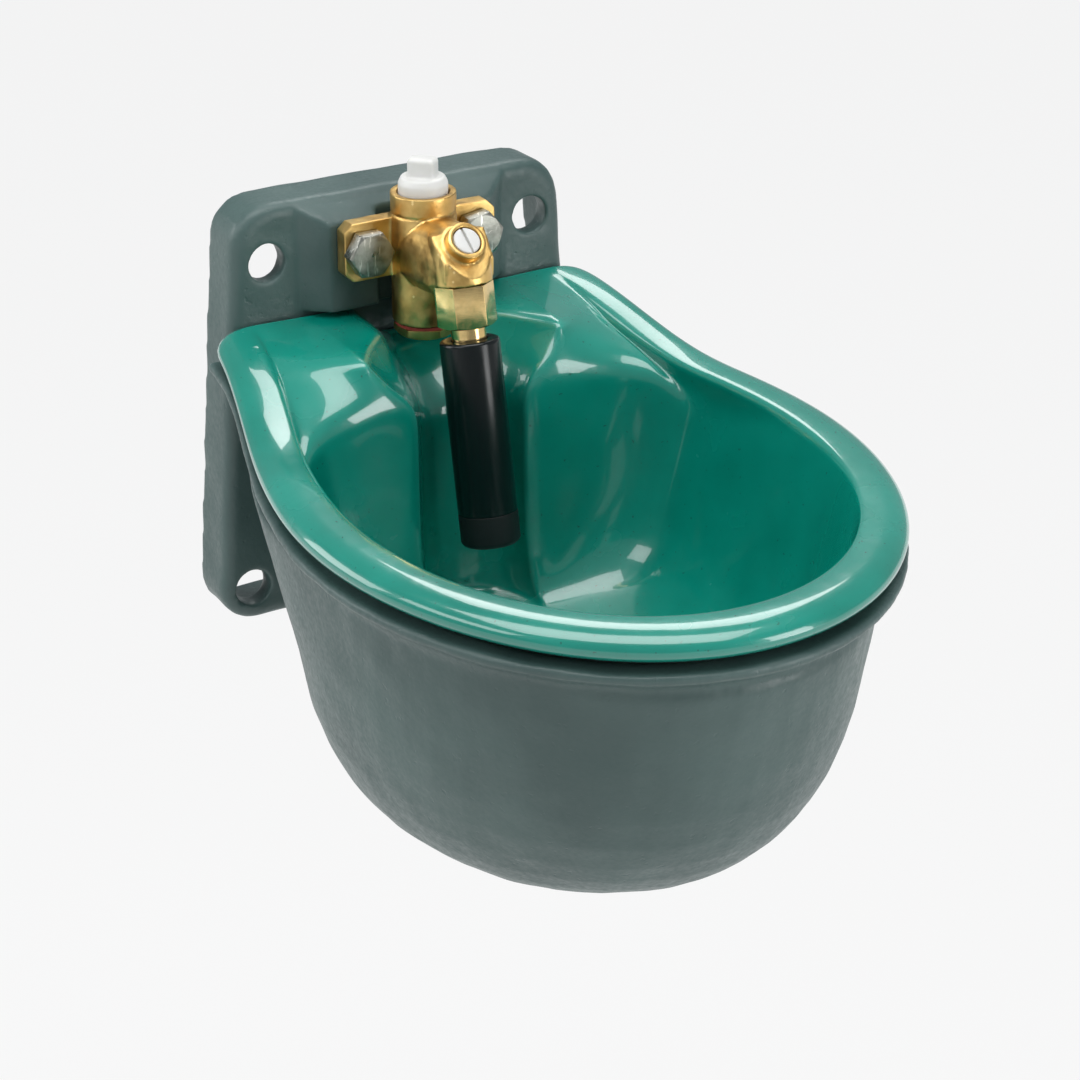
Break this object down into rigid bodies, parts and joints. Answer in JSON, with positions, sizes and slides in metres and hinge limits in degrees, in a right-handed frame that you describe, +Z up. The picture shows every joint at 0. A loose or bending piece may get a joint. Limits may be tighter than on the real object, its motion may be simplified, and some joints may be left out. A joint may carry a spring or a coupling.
{
  "type": "heated drinking bowl",
  "caption": "Wall-mounted cast livestock drinking bowl with an enamelled inner bowl, a brass tube valve that tilts, a flow regulator and a heater under the bowl.",
  "frame": {"origin": "middle of the four-hole pattern, on the plane of the wall", "axes": "+Y into the wall, -Y out along the bowl, +X to the right seen from the front, +Z up"},
  "size_m": [0.2282, 0.3005, 0.2543],
  "materials": {
    "painted_casting": "satin grey-green paint over cast texture",
    "green_enamel": "high-gloss green enamel",
    "black_rubber": "matte",
    "dark_rubber": "matte",
    "grey_felt": "matte",
    "red_silicone": "satin",
    "zinc_steel": "zinc plated",
    "worn_steel": "scratched",
    "spring_steel": "bright",
    "cast_brass": "cast, satin",
    "turned_brass": "machined, bright",
    "black_plastic": "satin",
    "white_plastic": "satin",
    "red_fibre": "matte"
  },
  "bodies": {
    "housing": {"outer_housing": "painted_casting", "inner_bowl": "green_enamel", "rim_seal": "black_rubber", "insulation_liner": "grey_felt", "heating_cable": "red_silicone", "thermostat": "zinc_steel", "thermostat_clip": "zinc_steel", "clip_screw": "zinc_steel", "gland_body": "turned_brass", "gland_locknut": "turned_brass", "gland_seal": "black_rubber", "gland_nut": "turned_brass", "bowl_bolt_front": "zinc_steel", "bowl_bolt_rear": "zinc_steel", "bowl_washer_front": "zinc_steel", "bowl_washer_rear": "zinc_steel", "valve_body": "cast_brass", "flange_bolt_left": "worn_steel", "flange_bolt_right": "worn_steel", "union_nut": "turned_brass", "rubber_seat": "black_rubber", "port_seal": "red_fibre", "port_plug": "cast_brass"},
    "spring_link": {"valve_spring": "spring_steel"},
    "tube": {"valve_tube": "turned_brass", "tube_sleeve": "black_plastic", "sleeve_tip": "dark_rubber"},
    "regulator": {"regulator_screw": "white_plastic", "regulator_ring": "black_rubber"},
    "plug": {"transport_plug": "white_plastic"}
  },
  "joints": [
    {"name": "tilt_fore_aft", "type": "hinge", "parent": "housing", "child": "spring_link", "pos_m": [0, -0.0766, 0.0595], "axis": [1, 0, 0], "range_deg": [-4.5, 4.5], "stiffness_Nm_per_rad": 4, "deforming": ["valve_spring"]},
    {"name": "tilt_sideways", "type": "hinge", "parent": "spring_link", "child": "tube", "pos_m": [0, -0.0766, 0.0595], "axis": [0, 0.9798, -0.2002], "range_deg": [-4.5, 4.5], "stiffness_Nm_per_rad": 4},
    {"name": "regulator_turn", "type": "hinge", "parent": "housing", "child": "regulator", "pos_m": [0, -0.0789, 0.0853], "axis": [0, -0.7071, 0.7071], "range_deg": [-90, 90]},
    {"name": "plug_pull", "type": "slide", "parent": "housing", "child": "plug", "axis": [0, 0, 1], "range_m": [0, 0.02]}
  ]
}
